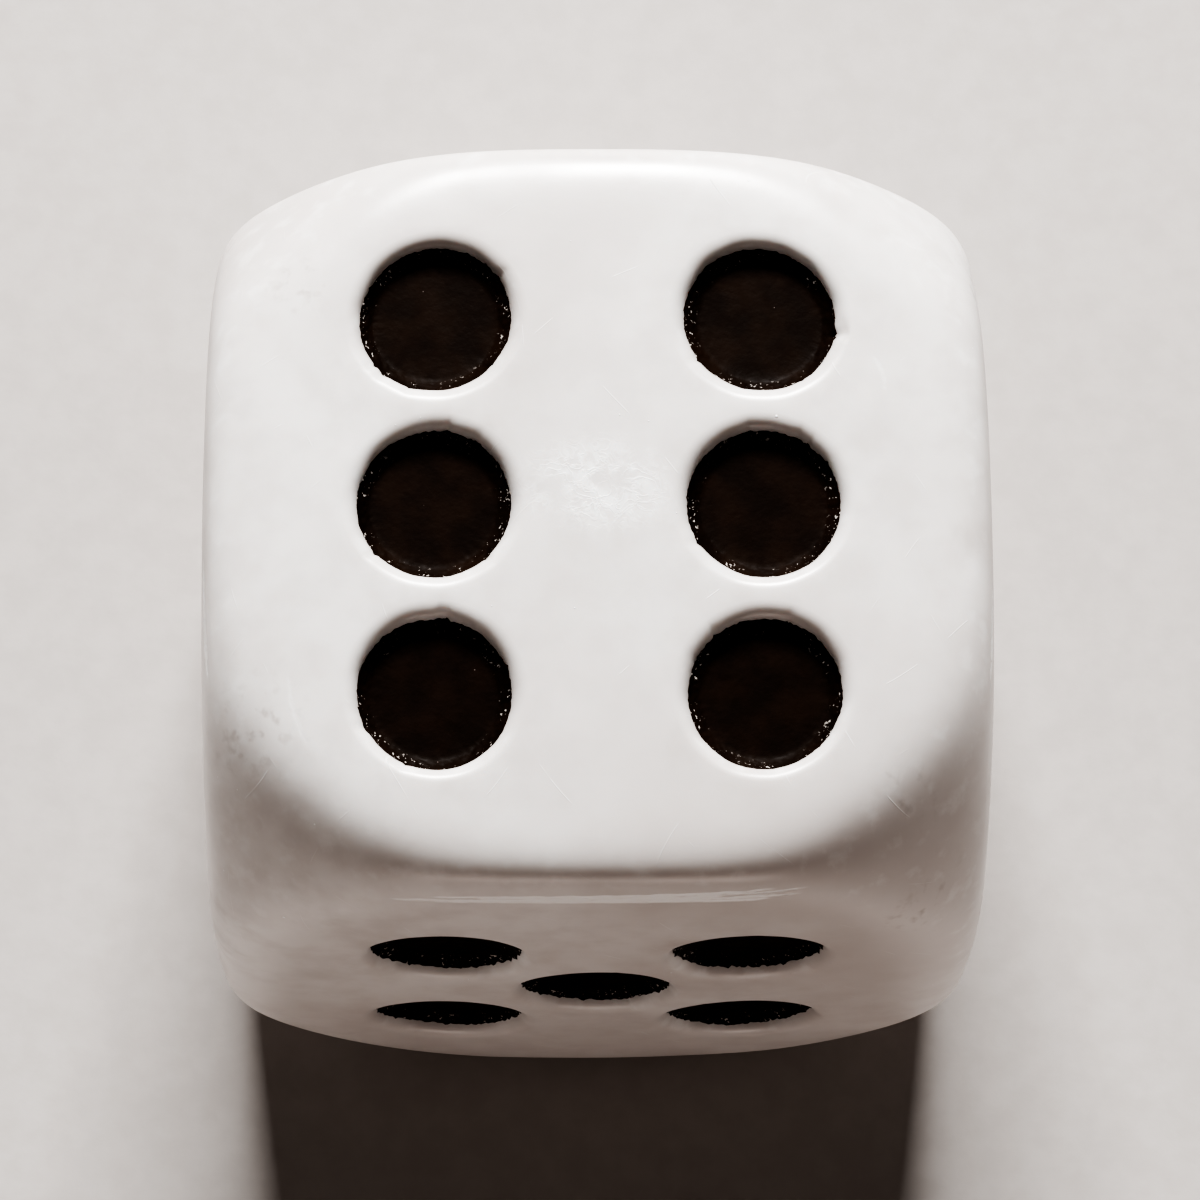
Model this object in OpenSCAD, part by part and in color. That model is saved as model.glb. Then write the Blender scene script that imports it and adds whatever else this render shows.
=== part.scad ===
// Six-sided die: one moulded body with 21 drilled pip recesses, and a separate lacquer filling
// in each recess. Millimetres, +Z up. The origin is the middle of the face that it rests on.
// The six is on top (+Z) and the one below (-Z), the five in front (-Y) and the two behind (+Y),
// the three on the right (+X) and the four on the left (-X). Opposite faces add up to seven, and
// one, two and three run anticlockwise round the corner where they meet.

/* [Body] */
// Length from face to face
edge_l = 16; // [16:0.5:16]
// Diameter of the ball that rounds off the corners, in edge lengths
ball_ratio = 1.42; // [1.41:0.01:1.42]
// Radius of the rounding along the edges and round each flat, in edge lengths
rounding_ratio = 0.0875; // [0.075:0.0125:0.1]

/* [Pips] */
// Diameter of a pip, in edge lengths
pip_ratio = 0.19; // [0.12:0.005:0.19]
// Half the distance between the columns of the two, three, four and five, in edge lengths
column_ratio = 0.195; // [0.17:0.005:0.21]
// Half the distance between the rows of the two, three, four and five, in edge lengths
row_ratio = 0.17; // [0.165:0.005:0.21]
// Half the distance between the columns of the six, in edge lengths
six_column_ratio = 0.208; // [0.17:0.002:0.214]
// Half the distance between the outer rows of the six, in edge lengths
six_row_ratio = 0.25; // [0.22:0.002:0.25]
// Depth of the drilled recess
recess_depth = 0.8; // [0.6:0.05:1.2]
// Radius of the rounded lip of a recess
lip_r = 0.2; // [0.05:0.01:0.2]

/* [Filling] */
// Depth of the filling's rim below the face
rim_depth = 0.22; // [0.2:0.01:0.3]
// Depth of the filling's floor below the face
floor_depth = 0.45; // [0.35:0.01:0.5]
// Width of the sloping wall between the filling's rim and its floor
wall_w = 0.2; // [0.05:0.01:0.3]

/* [Colours] */
// Colour of the moulded body
body_colour = "Ivory"; // [Ivory, White, Red]
// Colour of the lacquer in the pips
filling_colour = "#1C1310"; // [#1C1310, Black, White]

/* [Hidden] */
half = edge_l / 2;
ball_r = edge_l * ball_ratio / 2;
round_r = edge_l * rounding_ratio;
pip_r = edge_l * pip_ratio / 2;
// How far a face's outer columns and rows are from its middle
spread = edge_l * [column_ratio, row_ratio];
six_spread = edge_l * [six_column_ratio, six_row_ratio];

// The rounded body is a smaller core grown by round_r on every side. The core is a cube cut by a
// ball, and flat_r is the radius of the circle in which that ball cuts the core's faces.
core_half = half - round_r;
core_ball_r = ball_r - round_r;
flat_r = sqrt(core_ball_r ^ 2 - core_half ^ 2);
// How far a helper shape reaches past the surface that it cuts
over = 1;
$fn = 96;

// Turns that bring the Z axis to each of the three axes
AXIS_TURNS = [[0, 0, 0], [90, 0, 0], [0, 90, 0]];

// Pip places on a face: a name, and a column and a row from -1 to 1
CENTRE = ["centre", 0, 0];
DIAGONAL = [["low_left", -1, -1], ["high_right", 1, 1]];
COUNTER_DIAGONAL = [["high_left", -1, 1], ["low_right", 1, -1]];
SIDES = [["middle_left", -1, 0], ["middle_right", 1, 0]];
CORNERS = concat(DIAGONAL, COUNTER_DIAGONAL);

// Faces: a name, the turn that brings the top face there, how far its outer columns and rows are
// from its middle, and its pips
FACES = [
    ["one", [180, 0, 0], spread, [CENTRE]],
    ["two", [90, 0, 180], spread, DIAGONAL],
    ["three", [90, 0, 90], spread, concat([CENTRE], COUNTER_DIAGONAL)],
    ["four", [90, 0, -90], spread, CORNERS],
    ["five", [90, 0, 0], spread, concat([CENTRE], CORNERS)],
    ["six", [0, 0, 0], six_spread, concat(CORNERS, SIDES)],
];

// Every pip as its node's name, its face's turn, and its place on that face in millimetres
PIPS = [
    for (face = FACES, place = face[3])
        [str("pip_", face[0], "_", place[0]), face[1], [place[1] * face[2].x, place[2] * face[2].y]]
];

// Puts its children, drawn at the origin with +Z out of the die, at a pip's place
module at_pip(pip) {
    translate([0, 0, half])
        rotate(pip[1])
            translate([pip[2].x, pip[2].y, half])
                children();
}

// Half outline of the body as turned about one axis: flat ends, rounded rims, ball-shaped side
module barrel_outline() {
    reach = 2 * ball_r / core_ball_r;
    translate([0, -half])
        square([flat_r, edge_l]);
    for (side = [-1, 1])
        translate([flat_r, side * core_half])
            circle(r = round_r);
    intersection() {
        circle(r = ball_r);
        polygon([[0, 0], reach * [flat_r, core_half], reach * [flat_r, -core_half]]);
    }
}

// Square bar along Z with rounded edges
module rounded_bar() {
    linear_extrude(height = edge_l + 2 * over, center = true) {
        square([edge_l, 2 * core_half], center = true);
        square([2 * core_half, edge_l], center = true);
        for (x = [-1, 1], y = [-1, 1])
            translate(core_half * [x, y])
                circle(r = round_r);
    }
}

// The die before it is drilled, centred on the origin: what a barrel and a rounded bar along
// each of the three axes have in common
module blank() {
    intersection_for (turn = AXIS_TURNS)
        rotate(turn)
            intersection() {
                rotate_extrude()
                    barrel_outline();
                rounded_bar();
            }
}

// What the drill takes out, with the lip's rounding, below the face at z = 0
module recess() {
    translate([0, 0, -recess_depth])
        cylinder(r = pip_r, h = recess_depth + over);
    rotate_extrude()
        difference() {
            translate([0, -lip_r])
                square([pip_r + lip_r, lip_r + over]);
            translate([pip_r + lip_r, -lip_r])
                circle(r = lip_r);
        }
}

// Moulded and tumbled body with its 21 drilled recesses
module body() {
    color(body_colour)
        difference() {
            translate([0, 0, half])
                blank();
            for (pip = PIPS)
                at_pip(pip)
                    recess();
        }
}

// Lacquer filling: a plug that stands on the drilled floor, with a shallow flat-bottomed dish
module filling() {
    dish_r = pip_r - wall_w;
    color(filling_colour)
        rotate_extrude()
            polygon([
                [0, -recess_depth],
                [pip_r, -recess_depth],
                [pip_r, -rim_depth],
                [dish_r, -floor_depth],
                [0, -floor_depth],
            ]);
}

body();
for (pip = PIPS)
    at_pip(pip) filling();
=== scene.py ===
"""A tumbled, much handled six-sided die: an ivory-white plastic body with crowned faces, and a
ragged black lacquer filling in each of its 21 drilled pips.

Shapes are worked out in millimetres from the middle of the die, and turned into the frame's
metres at the end."""

import math
from collections import namedtuple

import bmesh
import bpy
import numpy as np
from mathutils import Matrix, Vector
from mathutils.geometry import delaunay_2d_cdt


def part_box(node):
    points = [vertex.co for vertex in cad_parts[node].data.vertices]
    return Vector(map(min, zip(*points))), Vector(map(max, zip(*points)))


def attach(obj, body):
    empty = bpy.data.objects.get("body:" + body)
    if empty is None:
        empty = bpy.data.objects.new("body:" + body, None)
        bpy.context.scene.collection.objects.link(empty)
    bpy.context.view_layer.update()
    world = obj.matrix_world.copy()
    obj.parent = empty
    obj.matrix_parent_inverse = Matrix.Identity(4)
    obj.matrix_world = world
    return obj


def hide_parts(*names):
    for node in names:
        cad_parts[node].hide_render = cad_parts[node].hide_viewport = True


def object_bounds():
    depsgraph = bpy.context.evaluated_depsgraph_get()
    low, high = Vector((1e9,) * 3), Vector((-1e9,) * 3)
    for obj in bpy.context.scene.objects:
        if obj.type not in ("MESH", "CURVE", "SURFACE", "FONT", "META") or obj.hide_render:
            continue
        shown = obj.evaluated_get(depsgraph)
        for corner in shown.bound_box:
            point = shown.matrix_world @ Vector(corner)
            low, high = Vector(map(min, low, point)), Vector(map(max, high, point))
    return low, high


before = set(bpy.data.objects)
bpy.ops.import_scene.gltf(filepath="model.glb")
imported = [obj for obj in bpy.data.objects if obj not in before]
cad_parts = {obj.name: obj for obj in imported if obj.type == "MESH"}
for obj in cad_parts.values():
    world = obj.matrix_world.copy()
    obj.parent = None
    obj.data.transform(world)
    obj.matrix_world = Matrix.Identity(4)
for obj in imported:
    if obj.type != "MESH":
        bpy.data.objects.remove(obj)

# ---------------------------------------------------------------- sizes, in millimetres

MM = 0.001
SEED = 21

CAD_LOW, CAD_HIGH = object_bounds()
CENTRE = (CAD_LOW + CAD_HIGH) / 2
HALF = (CAD_HIGH.z - CAD_LOW.z) / 2 / MM

# Body: a cube cut by a ball. The higher the power, the sharper the edges of the cube, and the
# edges where the ball cuts its faces
BALL_R = 11.62
CUBE_POWER = 20
BALL_POWER = 50
# How far a face has fallen away at the middle of its edges
CROWN = 0.24

# Halvings in the search that puts points on the body
SEARCH_STEPS = 40

# Mesh spacing on the body, and points round a recess and round a filling
SPACING = 0.2
RECESS_POINTS = 112
FILLING_POINTS = 168

# Points of the tiles and recesses that are closer than this, in metres, are merged
MERGE_DISTANCE = 2e-6
# Closer than this, in millimetres, places on a face are taken as one when it is triangulated
SAME_PLACE = 1e-5

# First random seeds of each pip's chips and lacquer
CHIP_SEED = SEED + 100
LACQUER_SEED = SEED + 200

# Each face's right, up and outward directions
FACES = {
    "one": ((1, 0, 0), (0, -1, 0), (0, 0, -1)),
    "two": ((-1, 0, 0), (0, 0, 1), (0, 1, 0)),
    "three": ((0, 1, 0), (0, 0, 1), (1, 0, 0)),
    "four": ((0, -1, 0), (0, 0, 1), (-1, 0, 0)),
    "five": ((1, 0, 0), (0, 0, 1), (0, -1, 0)),
    "six": ((1, 0, 0), (0, 1, 0), (0, 0, 1)),
}

PIP_NODES = sorted(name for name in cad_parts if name.startswith("pip_"))

# The recess from its lip inwards: distance outside the pip's own radius, and depth
RECESS = [
    (0.38, 0.0), (0.31, 0.008), (0.25, 0.026), (0.20, 0.052), (0.155, 0.086), (0.115, 0.126),
    (0.08, 0.172), (0.05, 0.222), (0.027, 0.272), (0.01, 0.325), (0.002, 0.38), (0.0, 0.5),
    (0.0, 0.76),
]
# How strongly a lip's chips, and its larger notch, widen the recess: depth and share
CHIP_SHARES = [(0.0, 0.0), (0.01, 0.6), (0.05, 1.0), (0.25, 1.0), (0.6, 0.0)]
NOTCH_SHARES = [(0.0, 0.0), (0.01, 0.6), (0.05, 1.0), (0.12, 0.5), (0.2, 0.0)]
# The larger notch: its pip, its angle and half width round the pip in radians, and its size
NOTCHED_PIP = "pip_six_high_right"
NOTCH_ANGLE = -0.12
NOTCH_WIDTH = 0.11
NOTCH_SIZE = 0.07

# Rings of the lacquer's flat floor from the middle outwards: radius, depth and roughness
LACQUER_FLOOR = [(0.15, 0.472, 0.0), (0.6, 0.471, 0.0), (1.0, 0.469, 0.0), (1.2, 0.465, 0.001)]
# The rough rim that slopes up round the floor: rings, inner radius, width, depth of its foot, rise
RIM_RINGS = 6
RIM_R = 1.27
RIM_WIDTH = 0.17
RIM_FOOT = 0.455
RIM_RISE = 0.10
# Middle depth of the lacquer's ragged upper edge, and the depth of its hidden underside
LACQUER_EDGE = 0.24
LACQUER_BOTTOM = 0.78

# Scrapes, each of several fine grooves side by side. Start, end, bow and half width are on the
# face's square, and depth is the grooves'
Scrape = namedtuple("Scrape", "face start end bow half_width depth grooves")
SCRAPES = [
    # The five's scrape runs where a highlight lies along its upper edge; its whiteness is worn
    # plastic and also a painted highlight there
    Scrape("five", (-4.45, 6.92), (4.55, 7.18), 0.03, 0.22, 0.038, 9),
    Scrape("two", (-1.5, 7.1), (2.2, 7.2), 0.05, 0.10, 0.025, 4),
    Scrape("three", (-3.6, 7.2), (-1.2, 7.0), 0.06, 0.12, 0.028, 4),
    Scrape("three", (7.1, -2.5), (7.2, 0.8), -0.05, 0.10, 0.025, 3),
    Scrape("four", (0.8, 7.0), (3.9, 7.2), 0.08, 0.12, 0.028, 4),
    Scrape("one", (-2.8, 7.1), (0.9, 7.2), 0.06, 0.10, 0.025, 3),
    Scrape("six", (5.45, 3.35), (5.8, 2.35), 0.16, 0.02, 0.008, 2),
    Scrape("six", (-6.3, -3.6), (-5.9, -5.2), -0.1, 0.03, 0.005, 2),
]
# How far the fine mesh reaches past a scrape's sides and, as a share of its length, its ends
SCRAPE_SIDE_MARGIN = 0.1
SCRAPE_END_MARGIN = 0.02
# Mesh spacing along and across the grooves
GROOVE_STEP_ALONG = 0.06
GROOVE_STEP_ACROSS = 0.024
# A groove this deep is as white as any
WHITE_DEPTH = 0.012

# Groups of small grey marks from handling: face, middle and radius
SMUDGES = [
    ("six", (-6.6, -4.4), 0.8), ("six", (5.9, -5.7), 0.5), ("six", (-5.9, 4.6), 0.6),
    ("five", (6.3, 4.9), 0.7), ("four", (-5.6, 5.1), 0.8), ("four", (5.9, -1.0), 0.6),
    ("three", (5.4, 5.6), 0.8), ("three", (-5.9, -4.7), 0.7), ("two", (4.9, -5.9), 0.8),
    ("two", (-4.9, -4.3), 0.6), ("one", (5.1, 4.4), 0.8), ("one", (-5.6, -2.1), 0.7),
]

# The frosted patch in the middle of some faces: faces, half width and half height, and how far
# it sits above the middle
RUBBED_FACES = ("six", "four", "two")
RUBBED_WIDTH = 2.0
RUBBED_HEIGHT = 1.25
RUBBED_RISE = 0.3

# Width of the floor, in metres
FLOOR_SIZE = 3.0


# ---------------------------------------------------------------- shape of the body


def length_of(points):
    """Length of each row, kept as a column."""
    return np.linalg.norm(points, axis=1, keepdims=True)


def on_body(directions):
    """Where rays from the middle of the die leave the body: a cube and a ball, both smoothly
    limiting how far a ray reaches."""
    unit = directions / length_of(directions)
    cube_share = 1 - (HALF / BALL_R) ** BALL_POWER
    low = np.full((len(unit), 1), HALF / 2)
    high = np.full((len(unit), 1), BALL_R)
    for _ in range(SEARCH_STEPS):
        middle = (low + high) / 2
        cube = (abs(unit * middle / HALF) ** CUBE_POWER).sum(axis=1, keepdims=True)
        outside = cube_share * cube + (middle / BALL_R) ** BALL_POWER > 1
        low = np.where(outside, low, middle)
        high = np.where(outside, middle, high)
    return unit * high


def crowned(points):
    """Lets each face fall away a little from its middle to its edges, as tumbling leaves it."""
    squares = points**2
    others = squares.sum(axis=1, keepdims=True) - squares
    return points * (1 - CROWN / HALF**3 * others)


def random_dents(count):
    """Shallow dents all over the body, as place, radius and depth."""
    rng = np.random.default_rng(SEED)
    dents = []
    for place in on_body(rng.normal(size=(count, 3))):
        radius = rng.uniform(0.25, 0.6)
        depth = rng.uniform(0.004, 0.016)
        dents.append((place, radius, depth))
    return dents


def random_waves(count):
    """Long low waves as direction, phase and height, for the unevenness of a worn surface."""
    rng = np.random.default_rng(SEED + 1)
    waves = []
    for _ in range(count):
        direction = rng.normal(size=3)
        wavelength = rng.uniform(2.5, 6)
        direction *= math.tau / wavelength / np.linalg.norm(direction)
        phase = rng.uniform(0, math.tau)
        height = rng.uniform(0.002, 0.005)
        waves.append((direction, phase, height))
    return waves


DENTS = random_dents(count=90)
WAVES = random_waves(count=7)


def worn(points):
    """The shape after long use: crowned faces, slight waves and small dents."""
    outward = points / length_of(points)
    rise = np.zeros(len(points))
    for direction, phase, height in WAVES:
        rise += height * np.sin(points @ direction + phase)
    for place, radius, depth in DENTS:
        away = ((points - place) ** 2).sum(axis=1)
        rise -= depth * np.exp(-away / radius**2)
    return crowned(points) + outward * rise[:, None]


def wobble(angles, rng, terms, low, high):
    """A smooth random value, mostly from -1 to 1, round a circle: a sum of this many terms, each a
    sine wave with at least low crests and fewer than high."""
    value = np.zeros(len(angles))
    for _ in range(terms):
        turns = rng.integers(low, high)
        value += np.sin(turns * angles + rng.uniform(0, math.tau)) / math.sqrt(terms)
    return value


def smooth_share(value, low, high):
    """0 below low, 1 above high, and smooth between them."""
    share = np.clip((value - low) / (high - low), 0, 1)
    return share * share * (3 - 2 * share)


# ---------------------------------------------------------------- pips


def pip_place(node):
    """Node, face, place on that face and radius of a pip, from its node's box."""
    low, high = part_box(node)
    middle = np.array((low + high) / 2 - CENTRE) / MM
    size = np.array(high - low) / MM
    face = node.split("_")[1]
    right, up, _ = np.array(FACES[face], float)
    return {
        "node": node,
        "face": face,
        "place": np.array([middle @ right, middle @ up]),
        "radius": abs(size @ right) / 2,
    }


PIPS = [pip_place(node) for node in PIP_NODES]


def circle(count):
    """Evenly spaced angles round a circle."""
    return np.arange(count) / count * math.tau


def spokes(angles):
    """Unit directions on a face at each angle."""
    return np.stack([np.cos(angles), np.sin(angles)], axis=1)


def bell(angles, middle, width):
    """A bump round a circle: 1 at its middle angle, and soon 0 on either side."""
    away = (angles - middle + math.pi) % math.tau - math.pi
    return np.exp(-((away / width) ** 2))


def chips(pip, angles):
    """How far small chips widen a recess's lip at each angle."""
    rng = np.random.default_rng(CHIP_SEED + PIPS.index(pip))
    wider = 0.006 * wobble(angles, rng, terms=5, low=3, high=14)
    for _ in range(rng.integers(2, 5)):
        middle = rng.uniform(0, math.tau)
        width = rng.uniform(0.02, 0.07)
        size = rng.uniform(0.02, 0.05)
        wider += size * bell(angles, middle, width)
    return wider


def share_at(depth, shares):
    """Reads a list of depths and shares at a depth."""
    depths, values = np.array(shares).T
    return np.interp(depth, depths, values)


def notch(pip, angles, depth):
    """The one larger notch, knocked out of the lip of the six's top right pip."""
    if pip["node"] != NOTCHED_PIP:
        return np.zeros(len(angles))
    share = share_at(depth, NOTCH_SHARES)
    return NOTCH_SIZE * share * bell(angles, NOTCH_ANGLE, NOTCH_WIDTH)


def wall_offset(depth, wider):
    """How far the recess's wall is outside the pip's own radius at a depth."""
    offsets, depths = np.array(RECESS).T
    plain = np.interp(depth, depths, offsets)
    return plain + share_at(depth, CHIP_SHARES) * wider


def on_face(face, places):
    """Places on a face's square, carried along rays from the middle of the die to the body."""
    right, up, out = np.array(FACES[face], float)
    return on_body(places[:, :1] * right + places[:, 1:] * up + HALF * out)


def ring(pip, angles, radius, depth):
    """Points of a ring in a pip, a depth below the body's surface there. Radius and depth are
    one number each, or one at each angle."""
    out = np.array(FACES[pip["face"]][2], float)
    all_round = np.ones(len(angles))
    places = pip["place"] + spokes(angles) * (radius * all_round)[:, None]
    return on_face(pip["face"], places) - (depth * all_round)[:, None] * out


def skin(rows, cap_first, cap_last):
    """Vertices and faces of a tube through rows of points, closed where a cap is asked for."""
    count = len(rows[0])
    vertices = np.vstack(rows)
    faces = []
    for row in range(len(rows) - 1):
        for column in range(count):
            following = (column + 1) % count
            a = row * count
            b = a + count
            faces.append((a + column, a + following, b + following, b + column))
    for wanted, start in ((cap_first, 0), (cap_last, (len(rows) - 1) * count)):
        if wanted:
            middle = len(vertices)
            vertices = np.vstack([vertices, vertices[start : start + count].mean(axis=0)])
            for column in range(count):
                faces.append((start + column, start + (column + 1) % count, middle))
    return vertices, faces


def recess(pip):
    """The drilled recess, from the outer edge of its lip to its floor, as points, faces, and the
    depth of any scrape there, which is none."""
    angles = circle(RECESS_POINTS)
    wider = chips(pip, angles)
    rows = []
    for _, depth in RECESS:
        offset = wall_offset(depth, wider) + notch(pip, angles, depth)
        rows.append(ring(pip, angles, pip["radius"] + offset, depth))
    points, faces = skin(rows, cap_first=False, cap_last=True)
    return points, faces, np.zeros(len(points))


# ---------------------------------------------------------------- body mesh


def scrape_axes(scrape):
    """A scrape's span from start to end, its length, and unit directions along and across it."""
    span = np.subtract(scrape.end, scrape.start)
    length = np.linalg.norm(span)
    along = span / length
    sideways = np.array([-along[1], along[0]])
    return span, length, along, sideways


def bowed(scrape, share):
    """How far to the side a scrape's middle line is, at a share of the way along it."""
    return scrape.bow * 4 * share * (1 - share)


def along_and_across(scrape, places):
    """Each place's share of the way along a scrape, and its distance to the side of it."""
    _, length, along, sideways = scrape_axes(scrape)
    share = (places - scrape.start) @ along / length
    across = (places - scrape.start) @ sideways - bowed(scrape, share)
    return share, across


def scrape_reach(scrape):
    """How far to the side of its middle line a scrape's fine mesh reaches."""
    return scrape.half_width + SCRAPE_SIDE_MARGIN


def scrape_places(scrape):
    """A fine strip of places along a scrape, so that its grooves are in the mesh."""
    span, length, _, sideways = scrape_axes(scrape)
    reach = scrape_reach(scrape)
    steps_along = round(length / GROOVE_STEP_ALONG)
    steps_across = round(2 * reach / GROOVE_STEP_ACROSS)
    places = []
    for share in np.linspace(-SCRAPE_END_MARGIN, 1 + SCRAPE_END_MARGIN, steps_along):
        for offset in np.linspace(-reach, reach, steps_across):
            side = offset + bowed(scrape, share)
            places.append(scrape.start + span * share + sideways * side)
    return places


def groove_depth(scrape, places):
    """How deep a scrape is at each place: grooves that fan out, waver and fade at their ends."""
    share, across = along_and_across(scrape, places)
    turn = share * math.tau
    fade_length = 0.05
    rng = np.random.default_rng(SEED + SCRAPES.index(scrape))
    deepest = np.zeros(len(places))
    for lane in np.linspace(-1, 1, scrape.grooves):
        first = rng.uniform(0.0, 0.3)
        last = rng.uniform(0.7, 1.0)
        fade = smooth_share(share, first, first + fade_length)
        fade *= 1 - smooth_share(share, last - fade_length, last)
        strength = rng.uniform(0.6, 1.0)
        uneven = strength * (0.75 + 0.25 * wobble(turn, rng, terms=6, low=4, high=40))
        lane_shift = rng.uniform(-0.15, 0.15)
        middle = scrape.half_width * (lane + lane_shift) * (0.5 + 0.5 * share)
        middle += 0.01 * wobble(turn, rng, terms=4, low=3, high=16)
        width = rng.uniform(0.028, 0.042)
        groove = scrape.depth * fade * uneven * np.exp(-(((across - middle) / width) ** 2))
        deepest = np.maximum(deepest, groove)
    return deepest


def square_edge():
    """Points round the face's square, in order."""
    count = round(2 * HALF / SPACING)
    steps = np.linspace(-HALF, HALF, count + 1)[:-1]
    edge = [(step, -HALF) for step in steps]
    edge += [(HALF, step) for step in steps]
    edge += [(-step, HALF) for step in steps]
    edge += [(-HALF, -step) for step in steps]
    return edge


def lip_radius(pip):
    """Radius of the outer edge of a recess's lip."""
    return pip["radius"] + RECESS[0][0]


def grid_places(pips, scrapes):
    """A triangular grid over the face's square, clear of its edge, its pips and its scrapes."""
    row_step = SPACING * math.sqrt(3) / 2
    margin = 0.55 * SPACING
    past_end = SCRAPE_END_MARGIN + 0.01
    places = []
    for row, up in enumerate(np.arange(-HALF + row_step, HALF - margin, row_step)):
        shift = SPACING / 2 * (row % 2)
        for right in np.arange(-HALF + SPACING + shift, HALF - margin, SPACING):
            places.append((right, up))
    places = np.array(places)
    keep = np.ones(len(places), bool)
    for pip in pips:
        keep &= np.linalg.norm(places - pip["place"], axis=1) > lip_radius(pip) + margin
    for scrape in scrapes:
        share, across = along_and_across(scrape, places)
        beside = (share > -past_end) & (share < 1 + past_end)
        keep &= ~(beside & (abs(across) < scrape_reach(scrape) + margin / 2))
    return places[keep]


def tile_outline(pips):
    """Places and edges that a face's triangles must keep: the square's edge and the pips' lips."""
    loops = [square_edge()]
    for pip in pips:
        loops.append(spokes(circle(RECESS_POINTS)) * lip_radius(pip) + pip["place"])
    places, edges = [], []
    for loop in loops:
        first = len(places)
        places.extend(tuple(point) for point in loop)
        edges += [(first + i, first + (i + 1) % len(loop)) for i in range(len(loop))]
    return places, edges


def flat_tile(pips, scrapes):
    """A face's square as places and triangles, with a round hole at each pip."""
    places, edges = tile_outline(pips)
    places.extend(tuple(point) for point in grid_places(pips, scrapes))
    for scrape in scrapes:
        places.extend(tuple(point) for point in scrape_places(scrape))
    corners = [Vector(place) for place in places]
    corners, _, triangles, *_ = delaunay_2d_cdt(corners, edges, [], 0, SAME_PLACE)
    flat = np.array([tuple(corner) for corner in corners])
    triangles = np.array(triangles)
    middles = flat[triangles].mean(axis=1)
    for pip in pips:
        outside = np.linalg.norm(middles - pip["place"], axis=1) > lip_radius(pip)
        triangles = triangles[outside]
        middles = middles[outside]
    return flat, triangles


def face_tile(face):
    """One face out to the middle of its rounded edges, as points, faces, and the depth of its
    scrapes at each point."""
    pips = [pip for pip in PIPS if pip["face"] == face]
    scrapes = [scrape for scrape in SCRAPES if scrape.face == face]
    flat, triangles = flat_tile(pips, scrapes)
    points = on_face(face, flat)
    inward = -points / length_of(points)
    scraped_and_highlit = np.zeros(len(flat))
    for scrape in scrapes:
        scraped_and_highlit = np.maximum(scraped_and_highlit, groove_depth(scrape, flat))
    points += inward * scraped_and_highlit[:, None]
    return points, [tuple(triangle) for triangle in triangles], scraped_and_highlit


def add_mask(mesh, name, values):
    """Stores a value from 0 to 1 at each vertex, for the material."""
    mask = mesh.attributes.new(name, "FLOAT", "POINT")
    mask.data.foreach_set("value", values.astype(np.float32))


def make_object(name, vertices, faces, mask, values, merge=False):
    """A smooth, closed mesh object in metres, with its faces turned outwards. It carries one mask,
    which is set before any points are merged."""
    mesh = bpy.data.meshes.new(name)
    points = vertices * MM + np.array(CENTRE)
    mesh.from_pydata([tuple(point) for point in points], [], [list(map(int, f)) for f in faces])
    add_mask(mesh, mask, values)
    shape = bmesh.new()
    shape.from_mesh(mesh)
    if merge:
        bmesh.ops.remove_doubles(shape, verts=shape.verts, dist=MERGE_DISTANCE)
    bmesh.ops.recalc_face_normals(shape, faces=shape.faces)
    for face in shape.faces:
        face.smooth = True
    shape.to_mesh(mesh)
    shape.free()
    made = bpy.data.objects.new(name, mesh)
    bpy.context.scene.collection.objects.link(made)
    return made


def make_body():
    """The whole moulded body: six face tiles and 21 recesses, joined into one closed skin."""
    parts = [face_tile(face) for face in FACES] + [recess(pip) for pip in PIPS]
    vertices, faces, depths, count = [], [], [], 0
    for points, own_faces, scraped_and_highlit in parts:
        vertices.append(points)
        faces += [tuple(index + count for index in face) for face in own_faces]
        depths.append(scraped_and_highlit)
        count += len(points)
    whiteness = np.clip(np.concatenate(depths) / WHITE_DEPTH, 0, 1)
    shape = worn(np.vstack(vertices))
    body = make_object("die_body", shape, faces, "scraped_and_highlit", whiteness, merge=True)
    add_masks(body)
    return body


def face_coordinates(face, places):
    """Each place's distance right, up and out from the middle of the die, as a face sees it."""
    right, up, out = np.array(FACES[face], float)
    return places @ right, places @ up, places @ out


def rubbed_middles(places):
    """How far each place is inside the frosted patch of a face."""
    mask = np.zeros(len(places))
    for face in RUBBED_FACES:
        across, along, height = face_coordinates(face, places)
        away = np.hypot(across / RUBBED_WIDTH, (along - RUBBED_RISE) / RUBBED_HEIGHT)
        near = 1 - smooth_share(away, 0.15, 1.0)
        mask = np.maximum(mask, near * (height > 0))
    return mask


def smudged_spots(places):
    """How near each place is to the middle of a group of handling marks."""
    mask = np.zeros(len(places))
    for face, spot, radius in SMUDGES:
        across, along, height = face_coordinates(face, places)
        away = np.hypot(across - spot[0], along - spot[1]) / radius
        mask = np.maximum(mask, np.exp(-(away**2)) * (height > 0))
    return mask


def near_lips(places):
    """How near each place is to a pip's lip, where grime gathers."""
    mask = np.zeros(len(places))
    for pip in PIPS:
        right, up, out = np.array(FACES[pip["face"]], float)
        spot = pip["place"][0] * right + pip["place"][1] * up + HALF * out
        away = np.linalg.norm(places - spot, axis=1)
        near = 1 - smooth_share(away, pip["radius"] + 0.1, pip["radius"] + 1.1)
        mask = np.maximum(mask, near)
    return mask


def rubbed_edges(normals):
    """1 where the body faces none of its six sides squarely, as along its edges and corners."""
    return 1 - smooth_share(abs(normals).max(axis=1), 0.8, 0.99)


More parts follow.
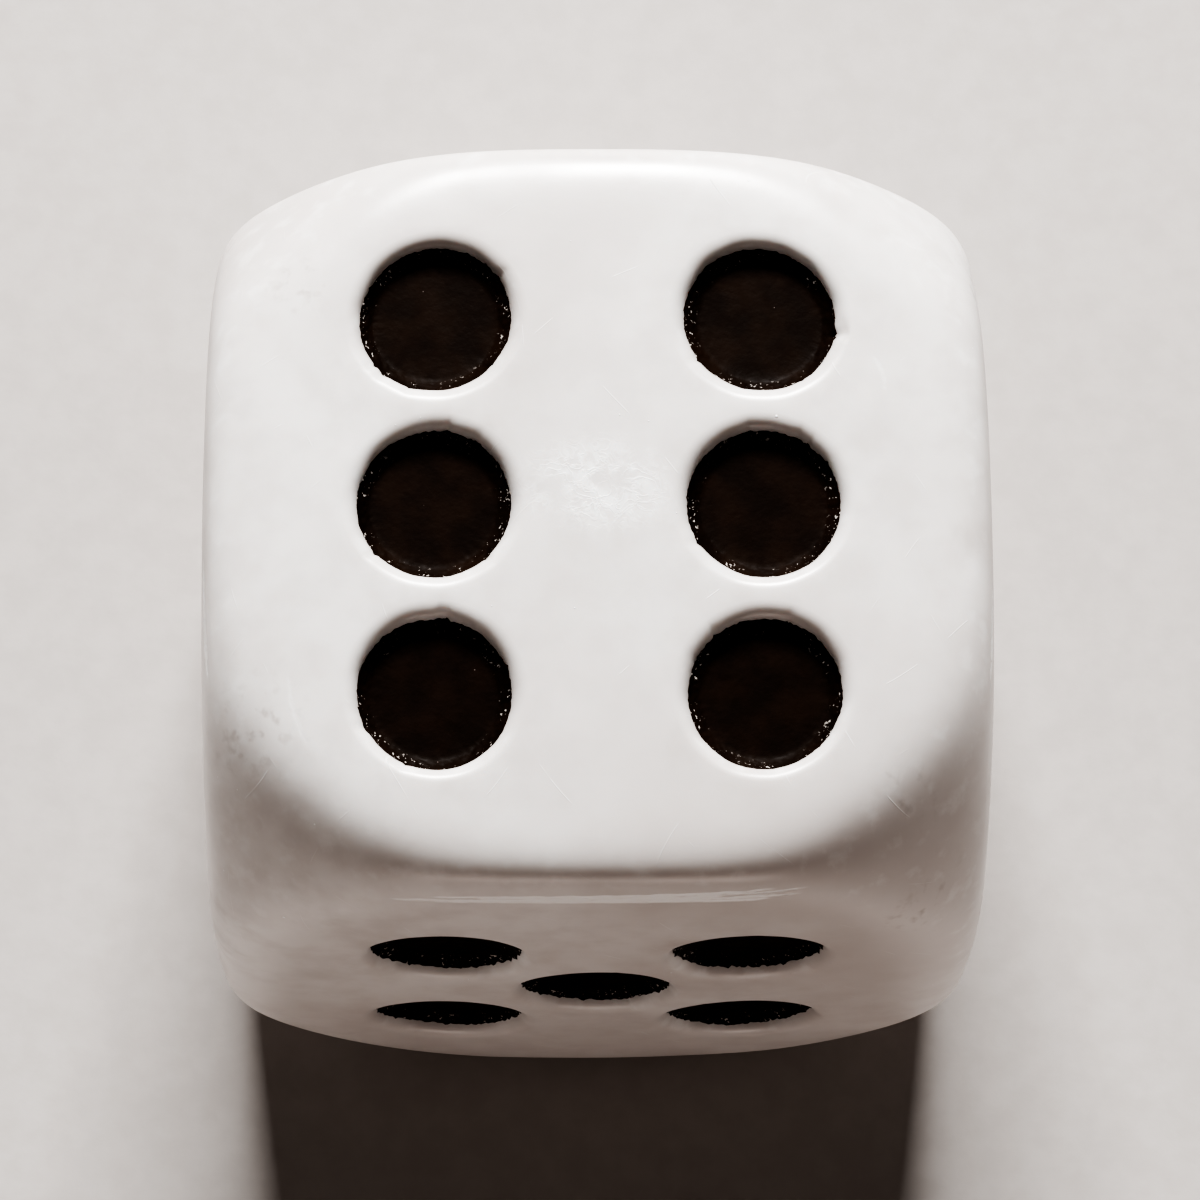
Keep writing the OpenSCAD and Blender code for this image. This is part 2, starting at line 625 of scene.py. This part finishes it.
def add_masks(body):
    """Stores where the body is rubbed or marked, for its material."""
    mesh = body.data
    places = np.empty(len(mesh.vertices) * 3)
    mesh.vertices.foreach_get("co", places)
    places = (places.reshape(-1, 3) - np.array(CENTRE)) / MM
    normals = np.array([tuple(vertex.normal) for vertex in mesh.vertices])
    add_mask(mesh, "rub_middle", rubbed_middles(places))
    add_mask(mesh, "rub_edge", rubbed_edges(normals))
    add_mask(mesh, "smudged", smudged_spots(places))
    add_mask(mesh, "near_lip", near_lips(places))


# ---------------------------------------------------------------- lacquer fillings


def ragged_depth(angles, rng):
    """Depth of the lacquer's upper edge at each angle: fine and broad unevenness, and a few
    places where it stands higher up the wall."""
    fine = 0.016 * wobble(angles, rng, terms=8, low=10, high=70)
    broad = 0.014 * wobble(angles, rng, terms=4, low=2, high=9)
    peaks = np.clip(wobble(angles, rng, terms=6, low=15, high=60) - 1.0, 0, 1)
    return LACQUER_EDGE + fine + broad - 0.05 * peaks


def make_filling(pip):
    """Lacquer in one recess: a flat floor, a rough sloping rim and a ragged upper edge against the
    recess's wall, closed below where the body hides it. Its mask of painted glints grows up the rim."""
    angles = circle(FILLING_POINTS)
    wider = chips(pip, angles)
    rng = np.random.default_rng(LACQUER_SEED + PIPS.index(pip))
    ragged = ragged_depth(angles, rng)
    pip_r = pip["radius"]
    rows, glint_shares = [], []

    def add_row(radius, depth, rough=0.0, glint_share=0.0):
        """Adds a ring, roughened in radius and in depth by a random amount at each point."""
        noise = rng.normal(size=(2, len(angles))) * rough
        rows.append(ring(pip, angles, radius + noise[0], depth + noise[1]))
        glint_shares.append(np.full(len(angles), glint_share))

    def add_wall_row(below, gap, rough=0.0):
        """Adds a ring this far below the ragged edge, and this gap inside the recess's wall."""
        depth = ragged + below
        add_row(pip_r + wall_offset(depth, wider) - gap, depth, rough, glint_share=1.0)

    for radius, depth, rough in LACQUER_FLOOR:
        add_row(radius, depth, rough)
    for share in np.linspace(0, 1, RIM_RINGS):
        swell = 0.004 + 0.008 * share * wobble(angles, rng, terms=6, low=12, high=60)
        radius = RIM_R + RIM_WIDTH * share + swell
        depth = RIM_FOOT - RIM_RISE * share**1.3 + swell
        add_row(radius, depth, rough=0.004, glint_share=share)
    add_wall_row(below=0.08, gap=0.035, rough=0.004)
    add_wall_row(below=0.03, gap=0.016, rough=0.002)
    add_wall_row(below=0.0, gap=0.004)
    inside_body = 0.04
    add_row(pip_r + wall_offset(ragged, wider) + inside_body, ragged + 0.03)
    add_row(pip_r + inside_body, 0.5)
    add_row(pip_r + inside_body, LACQUER_BOTTOM)
    vertices, faces = skin(rows, cap_first=True, cap_last=True)
    glint_share_at_caps = [0.0, 0.0]
    glint_share = np.append(np.concatenate(glint_shares), glint_share_at_caps)
    return make_object(pip["node"] + "_lacquer", worn(vertices), faces, "glint_share", glint_share)


# ---------------------------------------------------------------- materials


class Graph:
    """Short calls for building one material out of nodes, with lengths in millimetres."""

    def __init__(self, name):
        self.material = bpy.data.materials.new(name)
        self.material.use_nodes = True
        self.tree = self.material.node_tree
        self.shader = self.tree.nodes["Principled BSDF"]
        place = self.node("ShaderNodeTexCoord").outputs["Object"]
        scaled = self.node("ShaderNodeVectorMath", {0: place, "Scale": 1 / MM}, operation="SCALE")
        self.place = scaled.outputs["Vector"]

    def node(self, kind, sockets=None, **options):
        """Adds a node, and sets or links its inputs."""
        made = self.tree.nodes.new(kind)
        for option, value in options.items():
            setattr(made, option, value)
        for name, value in (sockets or {}).items():
            self.feed(made.inputs[name], value)
        return made

    def feed(self, socket, value):
        """Links an output to an input, or sets the input's own value."""
        if isinstance(value, bpy.types.NodeSocket):
            self.tree.links.new(value, socket)
        else:
            socket.default_value = value

    def shade(self, **sockets):
        """Sets the shader's inputs, named with spaces as underscores."""
        for name, value in sockets.items():
            self.feed(self.shader.inputs[name.replace("_", " ")], value)

    def math(self, operation, first, second=0.0):
        """A sum, product or other arithmetic on one or two values."""
        made = self.node("ShaderNodeMath", {0: first, 1: second}, operation=operation)
        return made.outputs[0]

    def ramp(self, value, low, high, start=0.0, end=1.0):
        """A smooth step from start to end as the value goes from low to high."""
        sockets = {"Value": value, "From Min": low, "From Max": high, "To Min": start, "To Max": end}
        made = self.node("ShaderNodeMapRange", sockets, interpolation_type="SMOOTHSTEP")
        return made.outputs["Result"]

    def blend(self, share, first, second):
        """A mix of two colours."""
        made = self.node("ShaderNodeMix", data_type="RGBA")
        self.feed(made.inputs[0], share)
        self.feed(made.inputs[6], first)
        self.feed(made.inputs[7], second)
        return made.outputs[2]

    def moved(self, seed):
        """The place moved far away by a seed, so that two patterns never look alike."""
        shift = (seed * 37.1, seed * -23.7, seed * 51.3)
        return self.node("ShaderNodeVectorMath", {0: self.place, 1: shift}).outputs["Vector"]

    def noise(self, size, detail=2.0, seed=0.0, distortion=0.0):
        """Cloudy noise, 0 to 1, whose features are about this many millimetres across."""
        sockets = {
            "Vector": self.moved(seed), "Scale": 1 / size, "Detail": detail,
            "Distortion": distortion,
        }
        return self.node("ShaderNodeTexNoise", sockets).outputs[0]

    def mask(self, name):
        """A mask that the mesh carries."""
        return self.node("ShaderNodeAttribute", attribute_name=name).outputs["Fac"]

    def hairs(self, direction, spacing, width, seed, share):
        """Fine scratches across a direction: gently curved lines, of which a share shows."""
        sockets = {0: self.place, 1: direction}
        along = self.node("ShaderNodeVectorMath", sockets, operation="DOT_PRODUCT").outputs["Value"]
        level = self.math("DIVIDE", along, spacing)
        curve = self.math("MULTIPLY", self.noise(5.0, detail=1.0, seed=seed), 1.8)
        level = self.math("ADD", level, curve)
        beside = self.math("ABSOLUTE", self.math("SUBTRACT", self.math("FRACT", level), 0.5))
        line = self.ramp(beside, 0.0, width / spacing, 1.0, 0.0)
        piece = self.ramp(self.noise(1.1, detail=1.0, seed=seed + 5), 1 - share, 1.06 - share)
        return self.math("MULTIPLY", line, piece)

    def specks(self, size, radius, share, seed):
        """Tiny round specks, in a share of the cells of a Voronoi pattern with cells this size."""
        sockets = {"Vector": self.moved(seed), "Scale": 1 / size}
        cells = self.node("ShaderNodeTexVoronoi", sockets)
        dot = self.ramp(cells.outputs["Distance"], radius / size * 0.5, radius / size, 1.0, 0.0)
        split = self.node("ShaderNodeSeparateColor", {"Color": cells.outputs["Color"]})
        chosen = self.math("LESS_THAN", split.outputs[0], share)
        return self.math("MULTIPLY", dot, chosen)

    def bump(self, height, distance, strength, before=None):
        """A bump whose height of 1 stands for this distance in millimetres."""
        sockets = {"Height": height, "Distance": distance * MM, "Strength": strength}
        if before is not None:
            sockets["Normal"] = before
        return self.node("ShaderNodeBump", sockets).outputs["Normal"]


def handling_marks(g):
    """Where hands have left the plastic grey: broad smudges, and groups of small marks."""
    smudges = g.ramp(g.noise(1.3, detail=3.0, seed=3.0, distortion=0.3), 0.5, 0.8, end=0.5)
    smudges = g.math("MULTIPLY", smudges, g.ramp(g.noise(4.5, detail=1.0, seed=4.0), 0.5, 0.68))
    marks = g.ramp(g.noise(0.28, detail=2.0, seed=22.0), 0.52, 0.75, end=0.8)
    marks = g.math("MULTIPLY", marks, g.mask("smudged"))
    return g.math("MAXIMUM", smudges, marks)


def clouded_ivory(g, smudge):
    """The plastic's own colour: clouded, mottled and smudged, with grime round the pips."""
    clouds = g.ramp(g.noise(7.0, detail=3.0, seed=1.0), 0.3, 0.7)
    colour = g.blend(clouds, (0.68, 0.63, 0.605, 1), (0.82, 0.79, 0.77, 1))
    mottle = g.ramp(g.noise(0.9, detail=4.0, seed=2.0), 0.35, 0.75, end=0.5)
    colour = g.blend(mottle, colour, (0.64, 0.59, 0.565, 1))
    colour = g.blend(smudge, colour, (0.50, 0.45, 0.42, 1))
    grime = g.ramp(g.noise(0.7, detail=4.0, seed=5.0), 0.4, 0.8, end=0.3)
    grime = g.math("MULTIPLY", g.mask("near_lip"), grime)
    return g.blend(grime, colour, (0.60, 0.55, 0.52, 1))


def ivory_plastic():
    """Ivory-white moulded plastic: clouded, handled, scratched, and frosted where it is rubbed."""
    g = Graph("ivory_plastic")
    smudge = handling_marks(g)
    colour = clouded_ivory(g, smudge)

    fine_hairs = g.hairs((0.62, 0.35, 0.70), spacing=0.9, width=0.012, seed=6.0, share=0.38)
    cross_hairs = g.hairs((0.55, -0.72, 0.42), spacing=1.4, width=0.012, seed=9.0, share=0.40)
    hairs = g.math("MAXIMUM", fine_hairs, cross_hairs)
    patch = g.ramp(g.noise(0.8, detail=3.0, seed=13.0), 0.3, 0.55)
    patch = g.math("MULTIPLY", g.mask("rub_middle"), patch)
    squiggle = g.math("SUBTRACT", g.noise(0.3, detail=3.0, seed=12.0, distortion=1.2), 0.5)
    squiggle = g.ramp(g.math("ABSOLUTE", squiggle), 0.0, 0.07, start=1.0, end=0.0)
    frost = g.math("MULTIPLY", squiggle, patch)
    large_specks = g.specks(1.0, radius=0.04, share=0.35, seed=15.0)
    small_specks = g.specks(0.5, radius=0.02, share=0.3, seed=16.0)
    specks = g.math("MAXIMUM", large_specks, small_specks)
    edge_wear = g.ramp(g.noise(0.5, detail=5.0, seed=17.0), 0.5, 0.7)
    edge_wear = g.math("MULTIPLY", g.mask("rub_edge"), edge_wear)

    pale = (0.95, 0.945, 0.935, 1)
    milky = g.ramp(g.noise(0.22, detail=3.0, seed=14.0), 0.42, 0.6, start=0.15, end=0.95)
    colour = g.blend(g.math("MULTIPLY", patch, milky), colour, (0.95, 0.95, 0.94, 1))
    colour = g.blend(g.math("MULTIPLY", frost, 0.85), colour, pale)
    colour = g.blend(g.math("MULTIPLY", hairs, 0.4), colour, pale)
    # Scrapes painted whiter: worn plastic, and along the five's upper edge a painted highlight
    colour = g.blend(g.mask("scraped_and_highlit"), colour, (1.0, 0.99, 0.98, 1))
    colour = g.blend(specks, colour, (1, 1, 1, 1))
    colour = g.blend(g.math("MULTIPLY", edge_wear, 0.3), colour, pale)

    rough = g.ramp(g.noise(2.2, detail=5.0, seed=18.0), 0.3, 0.7, start=0.30, end=0.40)
    for wear, rougher in ((patch, 0.18), (hairs, 0.2), (edge_wear, 0.12), (smudge, 0.15)):
        rough = g.math("ADD", rough, g.math("MULTIPLY", wear, rougher))

    normal = g.bump(g.noise(0.55, detail=4.0, seed=20.0), distance=0.006, strength=0.6)
    normal = g.bump(hairs, distance=0.004, strength=0.8, before=normal)
    normal = g.bump(frost, distance=0.006, strength=0.7, before=normal)
    normal = g.bump(specks, distance=0.012, strength=0.8, before=normal)
    grain = g.noise(0.06, detail=3.0, seed=21.0)
    normal = g.bump(grain, distance=0.001, strength=0.5, before=normal)
    g.shade(
        Base_Color=colour, Roughness=rough, Normal=normal, IOR=1.5, Subsurface_Weight=0.12,
        Subsurface_Radius=(1.0, 0.75, 0.6), Subsurface_Scale=0.0006, Coat_Weight=0.15,
        Coat_Roughness=0.2,
    )
    return g.material


def pip_lacquer():
    """Brown-black lacquer: dull and dusty, with pale flecks painted on its rough rim as glints."""
    g = Graph("pip_lacquer")
    clouds = g.ramp(g.noise(0.8, detail=4.0, seed=31.0), 0.35, 0.7)
    colour = g.blend(clouds, (0.009, 0.004, 0.002, 1), (0.016, 0.0075, 0.004, 1))
    dust = g.specks(0.35, radius=0.016, share=0.25, seed=32.0)
    colour = g.blend(dust, colour, (0.16, 0.13, 0.12, 1))
    # Painted glints: pale flecks on the rough rim, where light would catch it
    painted_glints = g.ramp(g.noise(0.07, detail=2.0, seed=35.0, distortion=0.4), 0.63, 0.68)
    painted_glints = g.math("MULTIPLY", painted_glints, g.mask("glint_share"))
    painted_glints = g.math("MULTIPLY", painted_glints, g.ramp(g.noise(0.4, detail=2.0, seed=36.0), 0.48, 0.56))
    colour = g.blend(painted_glints, colour, (0.55, 0.51, 0.48, 1))
    rough = g.ramp(g.noise(0.3, detail=4.0, seed=33.0), 0.3, 0.7, start=0.45, end=0.65)
    normal = g.bump(g.noise(0.12, detail=4.0, seed=34.0), distance=0.008, strength=0.8)
    g.shade(Base_Color=colour, Roughness=rough, Normal=normal, IOR=1.45, Specular_IOR_Level=0.06)
    return g.material


def floor_paper():
    """Plain pale paper with a faint grain."""
    g = Graph("floor_paper")
    grain = g.ramp(g.noise(0.6, detail=5.0, seed=41.0), 0.3, 0.7)
    colour = g.blend(grain, (0.47, 0.435, 0.415, 1), (0.50, 0.465, 0.445, 1))
    normal = g.bump(g.noise(0.35, detail=4.0, seed=42.0), distance=0.02, strength=0.3)
    g.shade(Base_Color=colour, Roughness=0.75, Normal=normal, Specular_IOR_Level=0.3)
    return g.material


# ---------------------------------------------------------------- floor, lights and camera


def direction(azimuth, elevation):
    """Unit vector towards an azimuth, 0 being the front, and an elevation, in degrees."""
    a, e = math.radians(azimuth), math.radians(elevation)
    return Vector((math.sin(a) * math.cos(e), -math.cos(a) * math.cos(e), math.sin(e)))


def make_floor(size):
    """A wide plain floor under the die, for the stage."""
    mesh = bpy.data.meshes.new("floor")
    half = size / 2
    corners = [(-half, -half, 0), (half, -half, 0), (half, half, 0), (-half, half, 0)]
    mesh.from_pydata(corners, [], [(0, 1, 2, 3)])
    floor = bpy.data.objects.new("floor", mesh)
    bpy.context.scene.collection.objects.link(floor)
    floor.location.z = CAD_LOW.z
    floor.data.materials.append(floor_paper())


def softbox(name, azimuth, elevation, distance, size, power, colour):
    """A soft rectangular light that faces the die, with its lengths in metres."""
    light = bpy.data.lights.new(name, "AREA")
    light.shape = "RECTANGLE"
    light.size, light.size_y = size
    light.energy = power
    light.color = colour
    lamp = bpy.data.objects.new(name, light)
    towards = direction(azimuth, elevation)
    lamp.location = CENTRE + towards * distance
    lamp.rotation_mode = "QUATERNION"
    lamp.rotation_quaternion = towards.to_track_quat("Z", "Y")
    lamp.visible_camera = False
    bpy.context.scene.collection.objects.link(lamp)


def make_lights():
    """Soft studio light: a big main box behind, and a weak warm one low in front."""
    softbox(
        "main_light", azimuth=180, elevation=37, distance=0.40, size=(0.16, 0.11), power=3.9,
        colour=(1.0, 0.995, 0.98),
    )
    softbox(
        "front_light", azimuth=0, elevation=3.5, distance=0.40, size=(0.30, 0.05), power=0.28,
        colour=(1.0, 0.84, 0.76),
    )
    world = bpy.data.worlds.new("studio")
    bpy.context.scene.world = world
    world.use_nodes = True
    background = world.node_tree.nodes["Background"]
    background.inputs["Color"].default_value = (1.0, 0.86, 0.79, 1)
    background.inputs["Strength"].default_value = 0.06


def make_camera():
    """The camera, high in front of the die and turned a little about its own axis."""
    azimuth, elevation, roll = -3.1, 72.6, 2.9
    distance = 119 * MM
    across, above = 0.12 * MM, 0.43 * MM
    back = direction(azimuth, elevation)
    right = Vector((math.cos(math.radians(azimuth)), math.sin(math.radians(azimuth)), 0))
    up = back.cross(right)
    turn = Matrix((right, up, back)).transposed() @ Matrix.Rotation(math.radians(roll), 3, "Z")
    data = bpy.data.cameras.new("camera")
    data.sensor_width = 36
    data.lens = 171
    data.clip_start, data.clip_end = 0.005, 20
    camera = bpy.data.objects.new("camera", data)
    camera.matrix_world = turn.to_4x4()
    camera.location = CENTRE + back * distance + right * across + up * above
    bpy.context.scene.collection.objects.link(camera)
    bpy.context.scene.camera = camera
    bpy.context.scene.view_settings.view_transform = "AgX"
    bpy.context.scene.view_settings.look = "AgX - Very High Contrast"


# ---------------------------------------------------------------- assembly


def put(piece, node, material):
    """Gives a piece its material, and puts it on the die in place of a CAD node."""
    piece.data.materials.append(material)
    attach(piece, "root")
    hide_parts(node)


make_camera()
make_lights()
make_floor(FLOOR_SIZE)
put(make_body(), "body", ivory_plastic())
lacquer = pip_lacquer()
for pip in PIPS:
    put(make_filling(pip), pip["node"], lacquer)
